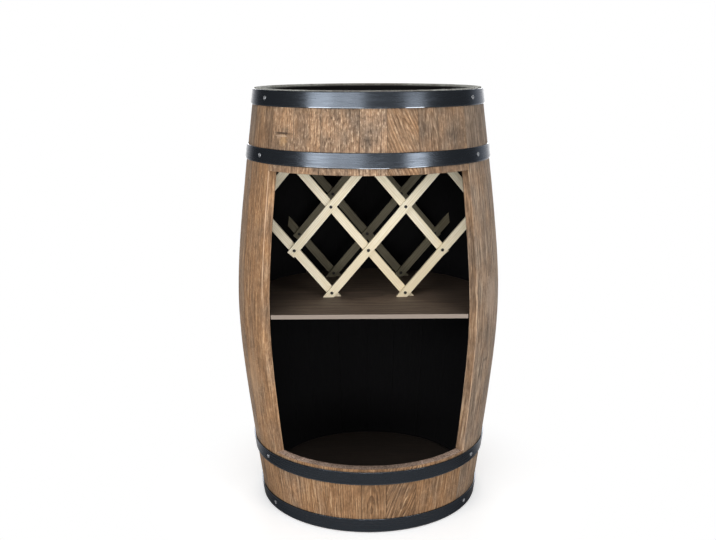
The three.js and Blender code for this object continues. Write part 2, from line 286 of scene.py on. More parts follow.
# Marks and patches on the outside: angle, height, half length, half height, share, colour
MARKS = [
    (math.radians(-41.6), 0.7235, 0.010, 0.0100, 0.4, rgb(196, 156, 106)),
    (math.radians(-43.0), 0.7315, 0.018, 0.0018, 0.45, rgb(206, 184, 160)),
    (math.radians(-41.5), 0.7410, 0.011, 0.0045, 0.35, rgb(74, 64, 52)),
    (math.radians(-42.8), 0.7362, 0.020, 0.0024, 0.85, rgb(52, 38, 29)),
    (math.radians(61), 0.308, 0.010, 0.0040, 0.5, rgb(58, 43, 33)),
    # A pale patch on the right flank's belly: a painted highlight
    (math.radians(64), 0.425, 0.030, 0.0500, 0.4, rgb(196, 172, 152)),
    (math.radians(-62), 0.265, 0.030, 0.0800, 0.3, rgb(206, 170, 134)),
]


def mark_mask(tree, where, angle, height, half_length, half_height):
    x, y, z = point_at(angle, outer_radius(height), height)
    offset = tree.added(where, (-x, -y, -z))
    share = tree.length(tree.scaled(offset, (1 / half_length, 1 / half_length, 1 / half_height)))
    ragged = tree.noise(where, (150, 150, 420), detail=3.0)
    return tree.range(tree.math("ADD", share, tree.math("MULTIPLY", ragged, 1.6)), 1.2, 2.0, 1.0, 0.0)


def oak_material():
    """Stained oak, brushed along the grain. The staves carry their grain, rings, finish and look, and with
    them painted shade.
    """
    tree = Tree("brushed_oak")
    grain = tree.attribute("grain")
    # The finish's tone and the look's warmth carry the side faces' tones, with a painted shade on the right
    # one, and a painted shade at the whole staves' ends
    wear, dirt, tone = tree.split(tree.attribute("finish_and_shade"))
    warmth, figure, flecked = tree.split(tree.attribute("look"))
    late, streaks, fibres = wood_figure(tree, grain, tree.attribute("rings"), 0.0034, 0.005)
    flecks = tree.noise(grain, (270, 270, 125), detail=4.0, roughness=0.65)
    patches = tree.noise(grain, (34, 34, 17), detail=2.5, roughness=0.5)
    blotches = tree.noise(grain, (60, 60, 40), detail=3.0)

    warm = tree.math("ADD", warmth, tree.swing(patches, 1.3), clamp=True)
    deep = tree.mix(warm, rgb(94, 80, 66), rgb(102, 68, 38))
    mid = tree.mix(warm, rgb(153, 131, 111), rgb(172, 130, 91))
    pale = tree.mix(warm, rgb(214, 192, 168), rgb(234, 194, 150))
    streaked = tree.math("SUBTRACT", 1.0, tree.math("MULTIPLY", flecked, 0.75))
    colour = tree.mix(tree.range(streaks, 0.34, 0.52, streaked, 0.0), mid, deep)
    colour = tree.mix(tree.range(streaks, 0.5, 0.7, 0.0, streaked), colour, pale)
    colour = tree.mix(tree.range(flecks, 0.32, 0.48, flecked, 0.0), colour, deep)
    colour = tree.mix(tree.range(flecks, 0.52, 0.68, 0.0, flecked), colour, pale)
    ring_share = tree.math("MULTIPLY", late, tree.range(patches, 0.3, 0.7, 0.35, 0.8))
    colour = tree.mix(tree.math("MULTIPLY", ring_share, figure), colour, rgb(96, 68, 44))
    pores = tree.range(fibres, 0.36, 0.48, 0.6, 0.0)
    colour = tree.mix(pores, colour, rgb(86, 62, 42))

    shade = tree.add("HueSaturation")
    light = tree.math("ADD", tree.swing(blotches, 1.4), tone)
    light = tree.math("ADD", tree.math("MULTIPLY", tree.swing(patches, 3.8), flecked), light)
    tree.feed(shade.inputs["Value"], tree.range(light, -0.8, 1.8, 0.35, 1.65, smooth=False))
    tree.feed(shade.inputs["Color"], colour)
    colour = shade.outputs[0]

    ragged = tree.noise(grain, (210, 210, 60), detail=3.0)
    rub = tree.math("ADD", wear, tree.swing(ragged, 1.1))
    colour = tree.mix(tree.range(rub, 0.3, 0.85, 0.0, 0.8), colour, rgb(206, 172, 140))
    colour = tree.mix(tree.math("MULTIPLY", dirt, 0.7, clamp=True), colour, rgb(46, 36, 28))
    where = tree.place()
    # The marks and patches, the right flank's painted highlight among them
    for angle, height, half_length, half_height, share, tint in MARKS:
        mask = mark_mask(tree, where, angle, height, half_length, half_height)
        colour = tree.mix(tree.math("MULTIPLY", mask, share), colour, tint)

    tree.set("Base Color", colour)
    tree.set("Roughness", tree.range(fibres, 0.3, 0.7, 0.82, 0.62, smooth=False))
    tree.set("Specular IOR Level", 0.35)
    long_grooves = tree.math("MULTIPLY", streaks, streaked)
    short_grooves = tree.math("MULTIPLY", flecks, flecked)
    grooves = tree.math("MULTIPLY", tree.math("ADD", long_grooves, short_grooves), 1.2)
    relief = tree.math("ADD", tree.math("MULTIPLY", late, -0.3), grooves)
    tree.set("Normal", tree.bump(fibres, 0.0004, 0.7, tree.bump(relief, 0.0011, 0.9)))
    return tree.owner


# Heights between which the inner edge of the upper end darkens towards the head
DARK_INNER_EDGE = (HEIGHT - 0.0042, HEIGHT - 0.002)


def end_grain_material():
    """Sawn and worn ends of the staves: grey on the chime, brown on the sill and the lintel, with a painted
    shade towards the middle.
    """
    tree = Tree("end_grain")
    where = tree.place()
    x, _y, height = tree.split(where)
    speckle = tree.noise(where, 330.0, detail=4.0, roughness=0.7)
    cloud = tree.noise(where, 45.0, detail=3.0)
    speckled = tree.range(speckle, 0.35, 0.65)
    brown = tree.mix(speckled, rgb(122, 98, 84), rgb(220, 192, 172))
    grey = tree.mix(speckled, rgb(118, 119, 112), rgb(182, 184, 176))
    on_chime = tree.range(height, LINTEL_HEIGHT + 0.05, LINTEL_HEIGHT + 0.1)
    colour = tree.mix(on_chime, brown, grey)
    colour = tree.mix(tree.range(cloud, 0.35, 0.65, 0.35, 0.0), colour, rgb(70, 56, 44))
    # Darker towards the middle in X, on every end: a painted shade meant for the sill's top
    from_middle = tree.math("ABSOLUTE", x)
    colour = tree.mix(tree.range(from_middle, 0.04, 0.13, 0.52, 0.0), colour, rgb(70, 56, 44))
    into_recess = tree.range(height, *DARK_INNER_EDGE, 0.92, 0.0)
    colour = tree.mix(tree.math("MULTIPLY", into_recess, on_chime), colour, rgb(34, 31, 28))
    tree.set("Base Color", colour)
    tree.set("Roughness", tree.range(speckle, 0.3, 0.7, 0.9, 0.75, smooth=False))
    tree.set("Normal", tree.bump(speckle, 0.0007, 0.7))
    return tree.owner


def charred_and_shaded_material():
    """Charred inside of the staves, darker than char: painted shade of the inside."""
    tree = Tree("charred_and_shaded_inside")
    fibres = tree.noise(tree.attribute("grain"), (700, 700, 30), detail=4.0)
    tree.set("Base Color", tree.mix(fibres, (0.002, 0.002, 0.0024, 1), (0.006, 0.0058, 0.0064, 1)))
    tree.set("Roughness", 0.85)
    tree.set("Specular IOR Level", 0.12)
    tree.set("Normal", tree.bump(fibres, 0.0005, 0.7))
    return tree.owner


# In the order of the slots below
STAVE_MATERIALS = [oak_material(), charred_and_shaded_material(), end_grain_material()]
OAK_SLOT, CHAR_AND_SHADE_SLOT, END_GRAIN_SLOT = range(3)

# Staves

# The fine staves lie this far inside the curve, so that they stay in the faceted part's box
SKIN_INSET = 0.0006
JOINT_ROUNDING = 0.0010
END_ROUNDING = 0.0012
INNER_ROUNDING = 0.0008
ROW_STEP = 0.010
COLUMN_STEP = 0.009
# Space between the rounding of an edge and the even columns or rows
EDGE_MARGIN = 0.0010
# Rows keep this far off a stave's ends
CLEAR_OF_END = 1.2 * END_ROUNDING
# Two rows lie this far to both sides of a step in the profile
HAIR = 0.00005
HEAD_MIDDLES = (HEAD_RECESS + HEAD_THICKNESS / 2, HEIGHT - HEAD_RECESS - HEAD_THICKNESS / 2)
TOP_OF_HOOPS = HOOP_BOTTOMS["hoop_top"] + HOOP_WIDTHS["hoop_top"]
# How far down a side face its points lie, as shares of its depth
SIDE_SHARES = (0.06, 0.4, 0.8, 0.95)
SIDE_POINTS = len(SIDE_SHARES)

# Unevenness of the joints and of the outer face, and how often it changes in a metre or a radian
JOINT_RAGGEDNESS = 0.55
RAGGED_RATE = 46
RIPPLE = 0.00025
RIPPLE_ROUND_RATE = 14
RIPPLE_RATE = 16
WAVE = 0.0001
WAVE_RATE = 21

# Figures above this arch, and the rest are plain
ARCHED = 0.5
# How far the pith lies beside a plain stave and outside its face, and its largest tilt
PLAIN_PITH_SIDE = (0.05, 0.15)
PLAIN_PITH_OUTSIDE = (0.03, 0.06)
PLAIN_TILT = 0.03
# The same for an arched one, by how much the pith goes in over its length, and where it meets the face
ARCHED_PITH_SIDE = (0.006, 0.012)
ARCH_DEPTH = 0.034
ARCH_MIDDLE = (0.35, 0.6)
# Below 1, this makes an arched stave's rings wider
ARCH_SPREAD = 0.6
# The pattern is moved by up to this much, so that no two staves are alike
GRAIN_SLIDE = 40
# How clear the rings are for a figure of 0
PLAIN_RINGS = 0.45

# Wear of the opening's outer arrises below and above a stretch of height in which it changes
ARRIS_WEAR = {"left": (0.3, 0.9, 0.38, 0.48), "right": (0.58, 0.1, 0.46, 0.54)}
INNER_WEAR = {"left": 0.62, "right": 0.4}
# What the opening's side faces add to their stave's tone and warmth: a painted shade on the right one, and a
# lighter colour on the left one
SIDE_SHADE_AND_TONE = {"left": (0.34, -0.2), "right": (-0.4, 0.4)}
# Wear of the edges at the sill and the lintel, and how far from the cask's ends it starts
END_WEAR = 0.15
CHIME_CLEAR = 0.01
# Dirt in a joint, from its bottom outwards, and the share of it between the short staves
JOINT_DIRT = (1.0, 0.9, 0.6, 0.25)
FRONT_JOINTS = 0.5
# What a painted shade adds to tone and warmth at the whole staves' lower and upper ends, and how far from
# half height
ENDS_SHADE_TONE = (-0.28, -0.36)
ENDS_SHADE_WARMTH = (0.15, -0.25)
ENDS_START = 0.26
ENDS_BLEND = 0.04


def joint_angles(start, end, shares):
    """Angles of the joints between staves that take those shares of an arc."""
    total = sum(shares)
    joints = [start]
    for share in shares:
        joints.append(joints[-1] + (end - start) * share / total)
    return joints


def inner_radius_at(z):
    """Inner face of a stave, with the chime's bevel and the croze cut into it."""
    radius = outer_radius(z) - STAVE_THICKNESS
    from_end = min(z, HEIGHT - z)
    if from_end < CHIME_BEVEL_HEIGHT:
        radius += CHIME_BEVEL_WIDTH * (1 - from_end / CHIME_BEVEL_HEIGHT)
    if any(abs(z - middle) < CROZE_HALF for middle in HEAD_MIDDLES):
        radius += CROZE_DEPTH
    return radius


def stave_levels(bottom, top):
    """Heights of a stave's rows and how far the outer face is rounded off at each, as (z, drop)."""
    ends = rounded(END_ROUNDING)
    steps = max(2, round((top - bottom) / ROW_STEP))
    heights = [bottom + END_ROUNDING + (top - bottom - 2 * END_ROUNDING) * i / steps for i in range(1, steps)]
    lips = [middle + side * CROZE_HALF for middle in HEAD_MIDDLES for side in (-1, 1)]
    for level in (*lips, SILL_HEIGHT, LINTEL_HEIGHT):
        heights += [level - HAIR, level + HAIR]
    heights += [CHIME_BEVEL_HEIGHT, HEIGHT - CHIME_BEVEL_HEIGHT]
    heights += [bottom + END_ROUNDING + EDGE_MARGIN, top - END_ROUNDING - EDGE_MARGIN]
    inside = sorted(z for z in heights if bottom + CLEAR_OF_END < z < top - CLEAR_OF_END)
    levels = [(bottom + rise, drop) for rise, drop in ends]
    levels += [(z, 0.0) for z in inside]
    levels += [(top - rise, drop) for rise, drop in reversed(ends)]
    return levels


def arris_wear(side, z):
    below, above, low, high = ARRIS_WEAR[side]
    return below + (above - below) * clamped((z - low) / (high - low))


def rounded_edge(angle, way, radius, rounding, inner):
    """Points round a face's edge at that angle. The face lies on from it (way 1) or before it (way -1)."""
    sign = 1 if inner else -1
    return [(angle + way * along / radius, radius + sign * drop) for along, drop in rounded(rounding)]


def face_columns(start, end, radius, roundings, inner, count):
    """Points across one face of a stave at one height, as (angle, radius), with both its edges rounded."""
    first_edge = rounded_edge(start, 1, radius, roundings[0], inner)
    last_edge = rounded_edge(end, -1, radius, roundings[1], inner)
    margin = EDGE_MARGIN / radius
    first, last = first_edge[-1][0] + margin, last_edge[-1][0] - margin
    span = [(first + (last - first) * i / count, radius) for i in range(count + 1)]
    return first_edge + span + last_edge[::-1]


def side_column(outer, inner, jamb):
    """Points down a stave's side face from its outer arris to its inner one, as (angle, radius, wear)."""
    column = []
    for share in SIDE_SHARES:
        angle = outer[0] + (inner[0] - outer[0]) * share
        radius = outer[1] + (inner[1] - outer[1]) * share
        worn = jamb and share == SIDE_SHARES[-1]
        column.append((angle, radius, INNER_WEAR[jamb] if worn else 0.0))
    return column


def edge_finish(from_start, from_end, open_side, z):
    """Wear and dirt of a point on the outer face, so many columns from the arc's start and from its end."""
    wear, dirt = 0.0, 0.0
    for steps, side in ((from_start, "right"), (from_end, "left")):
        if steps >= len(ROUND_TURNS):
            continue
        if open_side == side:
            wear = arris_wear(side, z)
        else:
            dirt = JOINT_DIRT[steps]
    return wear, dirt


def pith_place(rand, figure, bottom, top):
    """How far the pith lies beside a stave and outside its face, at half height, and its tilt."""
    if figure < ARCHED:
        beside = rand.uniform(*PLAIN_PITH_SIDE) * rand.choice([-1, 1])
        outside = rand.uniform(*PLAIN_PITH_OUTSIDE)
        return beside, outside, rand.uniform(-PLAIN_TILT, PLAIN_TILT)
    beside = rand.uniform(*ARCHED_PITH_SIDE) * rand.choice([-1, 1])
    tilt = ARCH_DEPTH / (top - bottom)
    outside = tilt * (HEIGHT / 2 - bottom - (top - bottom) * rand.uniform(*ARCH_MIDDLE))
    return beside, outside, tilt


def stave_faces(levels, per_face):
    """Faces over a stave's rows and ends, and their slots.

    A row of points goes round the stave: the outer face, a side, the inner face and the other side.
    """
    row = 2 * per_face + 2 * SIDE_POINTS
    first_inner = per_face + SIDE_POINTS
    faces, slots = [], []
    for i in range(len(levels) - 1):
        low, high = levels[i][0], levels[i + 1][0]
        on_chime = low > HEIGHT - CHIME_BEVEL_HEIGHT - HAIR or high < CHIME_BEVEL_HEIGHT + HAIR
        for j in range(row):
            a, b = i * row + j, i * row + (j + 1) % row
            faces.append((a, b, b + row, a + row))
            is_inner = first_inner - 1 < j < first_inner + per_face - 1
            bare_end = on_chime if is_inner else high > TOP_OF_HOOPS
            skin = CHAR_AND_SHADE_SLOT if is_inner else OAK_SLOT
            slots.append(END_GRAIN_SLOT if bare_end else skin)
    for base, flip in ((0, False), ((len(levels) - 1) * row, True)):
        for j in range(per_face - 1):
            outer = base + j
            inner = base + first_inner + per_face - 1 - j
            at_start = [base + row - 1 - k for k in range(SIDE_POINTS)] if j == 0 else []
            at_end = [base + first_inner - 1 - k for k in range(SIDE_POINTS)] if j == per_face - 2 else []
            face = (outer, *at_start, inner, inner - 1, *at_end, outer + 1)
            faces.append(face[::-1] if flip else face)
            slots.append(END_GRAIN_SLOT)
    return faces, slots


def add_stave(name, start, end, bottom, top, seed, look, jamb=None):
    """A fine stave. Its look is (tone, warmth, figure, lean, flecks).

    The figure is 1 for rings that arch, 0 for plain ones and less for faint ones. The lean is the slope of
    the grain across the stave, and the flecks are 1 for a short mottled grain and 0 for long streaks. The
    left jamb is the arris at which a stave's arc ends, and the right one that at which it starts.
    """
    tone, warmth, figure, lean, flecks = look
    whole = top - bottom > HEIGHT / 2
    count = max(2, round((end - start) * BELLY_RADIUS / COLUMN_STEP))
    per_face = 2 * len(ROUND_TURNS) + count + 1
    middle = (start + end) / 2
    rand = np.random.default_rng(seed)
    beside, outside, tilt = pith_place(rand, figure, bottom, top)
    slide = rand.uniform(0, GRAIN_SLIDE)
    spread = ARCH_SPREAD if figure > ARCHED else 1.0
    dirt_share = 1.0 if whole else FRONT_JOINTS
    verts, grain, rings, finish_and_shade, looks = [], [], [], [], []

    def put(angle, radius, z, wear=0.0, dirt=0.0, side=None):
        verts.append(point_at(angle, radius, z))
        across = (angle - middle) * radius + lean * (z - (bottom + top) / 2)
        depth = outer_radius(z) - radius
        # The opening's side faces take a painted shade on the right and a lighter colour on the left
        more_tone, more_warmth = SIDE_SHADE_AND_TONE[side] if side else (0.0, 0.0)
        # The whole staves' ends take a painted shade
        if whole:
            at_end = clamped((abs(z - HEIGHT / 2) - ENDS_START) / ENDS_BLEND)
            which = 0 if z < HEIGHT / 2 else 1
            more_tone += ENDS_SHADE_TONE[which] * at_end
            more_warmth += ENDS_SHADE_WARMTH[which] * at_end
        grain.append((across + slide, depth, z + slide))
        to_pith = (across - beside, depth + outside + tilt * (z - HEIGHT / 2), z)
        rings.append(tuple(c * spread for c in to_pith))
        finish_and_shade.append((wear, dirt * dirt_share, tone + more_tone))
        looks.append((warmth + more_warmth, PLAIN_RINGS + (1 - PLAIN_RINGS) * figure, flecks))

    levels = stave_levels(bottom, top)
    inner_roundings = (INNER_ROUNDING, INNER_ROUNDING)
    for z, drop in levels:
        wave = noise.noise(Vector((seed * 3.1, z * WAVE_RATE, 0.0)))
        open_side = jamb if SILL_HEIGHT < z < LINTEL_HEIGHT else None
        left = "left" if open_side == "left" else None
        right = "right" if open_side == "right" else None
        roundings = []
        for shift in (0.0, 7.7):
            ragged = noise.noise(Vector((seed * 1.7 + shift, z * RAGGED_RATE, 3.0)))
            roundings.append(JOINT_ROUNDING * (1 + JOINT_RAGGEDNESS * ragged))
        end_wear = END_WEAR if drop > 0 and CHIME_CLEAR < z < HEIGHT - CHIME_CLEAR else 0.0
        outer_face = face_columns(start, end, outer_radius(z) - SKIN_INSET - drop, roundings, False, count)
        inner_face = face_columns(start, end, inner_radius_at(z), inner_roundings, True, count)
        for j, (angle, radius) in enumerate(outer_face):
            wear, dirt = edge_finish(j, per_face - 1 - j, open_side, z)
            place = Vector((angle * RIPPLE_ROUND_RATE, z * RIPPLE_RATE, seed * 1.3))
            put(angle, radius + RIPPLE * noise.noise(place) + WAVE * wave, z, max(wear, end_wear), dirt)
        for angle, radius, wear in side_column(outer_face[-1], inner_face[-1], left):
            put(angle, radius, z, wear, side=left)
        for angle, radius in reversed(inner_face):
            put(angle, radius, z)
        for angle, radius, wear in reversed(side_column(outer_face[0], inner_face[0], right)):
            put(angle, radius, z, wear, side=right)

    faces, slots = stave_faces(levels, per_face)
    piece = make_piece(name, verts, faces, STAVE_MATERIALS)
    mesh = piece.data
    mesh.polygons.foreach_set("material_index", slots)
    for label, values in (("grain", grain), ("rings", rings), ("finish_and_shade", finish_and_shade), ("look", looks)):
        attribute = mesh.attributes.new(label, "FLOAT_VECTOR", "POINT")
        attribute.data.foreach_set("vector", np.array(values, np.float32).ravel())
    return piece


def add_staves(prefix, start, end, shares, bottom, top, first_seed, looks, jambs=False):
    """The fine staves of an arc. With jambs, the first and the last one flank the opening."""
    joints = joint_angles(start, end, shares)
    sides = {0: "right", len(shares) - 1: "left"} if jambs else {}
    for i, look in enumerate(looks):
        node = f"{prefix}_{i + 1}"
        seed = first_seed + i
        piece = add_stave(f"{node}_wood", joints[i], joints[i + 1], bottom, top, seed, look, sides.get(i))
        dress(piece, node)


def back_look(i):
    """Look of a stave behind, which differs from its neighbours'."""
    tone = 0.42 + 0.7 * noise.noise(Vector((i * 2.37, 0.4, 0.9)))
    warmth = 0.5 + 0.6 * noise.noise(Vector((i * 1.91, 7.4, 0.3)))
    figure = (0.1, 0.9, 0.0, 0.6)[i % 4]
    return (tone, warmth, figure, 0.0, 0.3 + 0.2 * (i % 3))


# Each stave's (tone, warmth, figure, lean, flecks)
UPPER_LOOKS = [
    (0.32, 0.45, 0.2, 0.04, 0.75),
    (0.33, 0.5, 0.1, 0.0, 0.8),
    (0.16, 0.35, 0.1, 0.03, 0.9),
    (0.38, 0.3, 0.2, 0.0, 0.9),
    (0.12, 0.6, 0.7, 0.4, 0.6),
    (0.0, 0.35, 0.8, 0.06, 0.45),
    (0.08, 0.3, 0.1, 0.0, 0.5),
]
LOWER_LOOKS = [
    (0.38, 0.7, 0.1, 0.03, 0.4),
    (0.28, 0.9, 0.3, 0.0, 0.3),
    (0.06, 1.1, 0.1, 0.0, 0.3),
    (-0.1, 1.05, 0.8, 0.0, 0.25),
    (-0.06, 0.9, 0.9, -0.35, 0.25),
    (0.14, 0.9, 0.1, -0.05, 0.3),
    (0.12, 0.8, 0.2, 0.0, 0.3),
]
RIGHT_FLANK_LOOKS = [(0.39, 0.1, -0.6, 0.0, 0.2), (0.46, 0.05, -0.6, 0.0, 0.2), (0.32, 0.1, -0.6, 0.0, 0.2)]
LEFT_FLANK_LOOKS = [(0.3, 0.3, 0.3, 0.0, 0.4), (0.32, 0.5, 0.1, 0.0, 0.3), (0.36, 0.9, 0.2, 0.0, 0.35)]
BACK_STAVES = len(BODY_STAVE_SHARES) - len(RIGHT_FLANK_LOOKS) - len(LEFT_FLANK_LOOKS)
BODY_LOOKS = RIGHT_FLANK_LOOKS + [back_look(i) for i in range(BACK_STAVES)] + LEFT_FLANK_LOOKS

OPENING = (-JAMB_ANGLE, JAMB_ANGLE)
BEHIND_OPENING = (JAMB_ANGLE, 2 * math.pi - JAMB_ANGLE)
add_staves("upper_front_stave", *OPENING, FRONT_STAVE_SHARES, LINTEL_HEIGHT, HEIGHT, 11, UPPER_LOOKS)
add_staves("lower_front_stave", *OPENING, FRONT_STAVE_SHARES, 0.0, SILL_HEIGHT, 31, LOWER_LOOKS)
add_staves("stave", *BEHIND_OPENING, BODY_STAVE_SHARES, 0.0, HEIGHT, 51, BODY_LOOKS, jambs=True)

# Hoops, with their laps, rivets and screws

HOOP_COLUMNS = 288
HOOP_ROUNDING = 0.0006
# Space between the staves' curve and a hoop
HOOP_GAP = 0.0002
# Height of the strip at a hoop's lower edge that is polished, and of its blend into the rest
EDGE_STRIP = 0.0018
EDGE_BLEND = 0.0004
LAP_COLUMNS = 16
# Share of a hoop's width by which its lap is narrower at each edge
LAP_MARGIN = 0.02
# The lap's inner face lies inside the strip, and its outer face two thicknesses out
LAP_INSIDE = 0.6 * HOOP_THICKNESS
LAP_THICKNESS = 1.4 * HOOP_THICKNESS
DOME_COLUMNS = 24
DOME_ROWS = 8
# Height of a head's upright rim, and how far its foot lies inside the steel
HEAD_RIM = 0.0006
RIVET_SINK = 0.0006
SCREW_SINK = 0.0004
# Depth of a screw's cross slot, and its half width and reach as shares of the screw's radius
SLOT_DEPTH = 0.0009
SLOT_HALF_WIDTH = 0.13
SLOT_REACH = 0.62


def hoop_material():
    """Dark coated steel, polished along its lower edge and its upper rim."""
    tree = Tree("coated_steel")
    where = tree.place()
    scuffs = tree.noise(where, (24, 24, 420), detail=4.0, roughness=0.65)
    cloud = tree.noise(where, 22.0, detail=3.0)
    colour = tree.mix(cloud, (0.053, 0.062, 0.074, 1), (0.07, 0.079, 0.094, 1))
    edge = tree.split(tree.attribute("edge"))[0]
    polished = tree.range(tree.math("ADD", edge, tree.swing(scuffs, 0.8)), 0.4, 0.9)
    tree.set("Base Color", tree.mix(polished, colour, (0.13, 0.14, 0.155, 1)))
    tree.set("Metallic", 1.0)
    tree.set("Specular Tint", (0.5, 0.5, 0.51, 1))
    dull = tree.range(scuffs, 0.3, 0.7, 0.21, 0.31, smooth=False)
    tree.set("Roughness", tree.blend(polished, dull, 0.1))
    tree.set("Normal", tree.bump(scuffs, 0.0002, 0.14))
    return tree.owner


def screw_material():
    tree = Tree("zinc_screw")
    cloud = tree.noise(tree.place(), 900.0, detail=2.0)
    tree.set("Base Color", tree.mix(cloud, rgb(132, 134, 138), rgb(186, 188, 192)))
    tree.set("Metallic", 1.0)
    tree.set("Roughness", tree.range(cloud, 0.3, 0.7, 0.28, 0.45, smooth=False))
    return tree.owner


HOOP_STEEL = hoop_material()
ZINC = screw_material()


def strip_outline(bottom, top, inner, thickness):
    """Closed outline of a strip that leans with the staves, as (radius, height), with rounded outer edges."""
    low, high = outer_radius(bottom) + inner, outer_radius(top) + inner

    def face(z):
        return low + (high - low) * (z - bottom) / (top - bottom) + thickness

    corner = rounded(HOOP_ROUNDING)
    outline = [(high, top), (low, bottom)]
    outline += [(face(bottom + rise) - drop, bottom + rise) for rise, drop in corner]
    for z in (bottom + EDGE_STRIP, bottom + EDGE_STRIP + EDGE_BLEND, top - EDGE_STRIP):
        outline.append((face(z), z))
    outline += [(face(top - rise) - drop, top - rise) for rise, drop in reversed(corner)]
    return outline


def swept(outline, start, end, columns, closed):
    """Points and faces of an outline carried round the cask from one angle to another."""
    verts, faces = [], []
    count = len(outline)
    rings = columns if closed else columns + 1
    for i in range(rings):
        angle = start + (end - start) * i / columns
        verts += [point_at(angle, radius, z) for radius, z in outline]
    for i in range(columns):
        this, following = i * count, (i + 1) % rings * count
        for j in range(count):
            k = (j + 1) % count
            faces.append((this + j, this + k, following + k, following + j))
    if not closed:
        faces.append(tuple(range(count))[::-1])
        faces.append(tuple(columns * count + j for j in range(count)))
    return verts, faces


def dome(radius, rise, rim, slot):
    """A low round head about +Z on an upright rim, with a cross cut into it as deep as the slot."""
    verts, faces = [(0, 0, rim + rise - slot)], []
    spokes = [2 * math.pi * j / DOME_COLUMNS for j in range(DOME_COLUMNS)]
    for i in range(1, DOME_ROWS + 1):
        turn = QUARTER * i / DOME_ROWS
        r, z = radius * math.sin(turn), rim + rise * math.cos(turn)
        for spoke in spokes:
            x, y = r * math.cos(spoke), r * math.sin(spoke)
            narrow, wide = sorted((abs(x), abs(y)))
            in_slot = narrow < radius * SLOT_HALF_WIDTH and wide < radius * SLOT_REACH
            verts.append((x, y, z - (slot if in_slot else 0)))
    foot = len(verts)
    verts += [(radius * math.cos(spoke), radius * math.sin(spoke), 0) for spoke in spokes]
    for j in range(DOME_COLUMNS):
        k = (j + 1) % DOME_COLUMNS
        faces.append((0, 1 + j, 1 + k))
        for i in range(DOME_ROWS):
            a, b = 1 + i * DOME_COLUMNS + j, 1 + i * DOME_COLUMNS + k
            faces.append((a, a + DOME_COLUMNS, b + DOME_COLUMNS, b))
    faces.append(tuple(foot + j for j in range(DOME_COLUMNS))[::-1])
    return verts, faces


def outward(angle, z):
    """The way in which the staves' outer face looks there."""
    step = 0.001
    slope = (outer_radius(z + step) - outer_radius(z - step)) / (2 * step)
    return Vector((math.sin(angle), -math.cos(angle), -slope)).normalized()


def placed(verts, angle, radius, z, spin=0.0):
    """The points of a head moved from about +Z to the hoop's face."""
    turn = outward(angle, z).to_track_quat("Z", "Y").to_matrix().to_4x4()
    where = Matrix.Translation(point_at(angle, radius, z)) @ turn @ Matrix.Rotation(spin, 4, "Z")
    return [tuple(where @ Vector(v)) for v in verts]


def joined(parts):
    verts, faces = [], []
    for part_verts, part_faces in parts:
        base = len(verts)
        verts += part_verts
        faces += [tuple(base + i for i in face) for face in part_faces]
    return verts, faces


def add_hoop(name):
    """A hoop with its lap and rivets as one piece, and each of its screws as one."""
    bottom, width = HOOP_BOTTOMS[name], HOOP_WIDTHS[name]
    top, middle, margin = bottom + width, bottom + width / 2, width * LAP_MARGIN
    radius = outer_radius(middle)
    strip = strip_outline(bottom, top, HOOP_GAP, HOOP_THICKNESS)
    lap = strip_outline(bottom + margin, top - margin, LAP_INSIDE, LAP_THICKNESS)
    half_lap = LAP_LENGTH / radius / 2
    parts = [
        swept(strip, 0, 2 * math.pi, HOOP_COLUMNS, True),
        swept(lap, math.pi - half_lap, math.pi + half_lap, LAP_COLUMNS, False),
    ]
    for side in (-1, 1):
        angle = math.pi + side * RIVET_SPACING / 2 / radius
        verts, faces = dome(RIVET_RADIUS, RIVET_RISE, HEAD_RIM, 0.0)
        parts.append((placed(verts, angle, radius + 2 * HOOP_THICKNESS - RIVET_SINK, middle), faces))
    hoop = make_piece(f"{name}_band", *joined(parts), [HOOP_STEEL], sharp=math.radians(35))
    edges = hoop.data.attributes.new("edge", "FLOAT_VECTOR", "POINT")
    for i, vertex in enumerate(hoop.data.vertices):
        at_edge = vertex.co.z < bottom + EDGE_STRIP + HAIR or vertex.co.z > top - HOOP_ROUNDING / 2
        edges.data[i].vector = (1.0 if at_edge else 0.0, 0.0, 0.0)
    dress(hoop, name)
    for i, angle in enumerate(SCREW_ANGLES):
        verts, faces = dome(SCREW_RADIUS, SCREW_RISE, HEAD_RIM, SLOT_DEPTH)
        spin = noise.noise(Vector((i * 3.3, bottom * 40, 1.0))) * math.pi
        points = placed(verts, angle, radius + HOOP_THICKNESS - SCREW_SINK, middle, spin)
        screw = make_piece(f"{name}_screw_{i + 1}", points, faces, [ZINC], sharp=math.radians(50))
        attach(screw, "root")


for name in HOOP_BOTTOMS:
    add_hoop(name)

# Boards, shelf, cleats and slats keep the part's own meshes

BOARD_BEVEL = 0.0008
SHELF_BEVEL = 0.0006
SLAT_BEVEL = 0.0005
# Heights between which a painted shade darkens the slats downwards, and the strip of X in which this sets in
SLAT_SHADE_HEIGHTS = (0.45, 0.57)
SLAT_SHADE_START = (-0.1, 0.0)


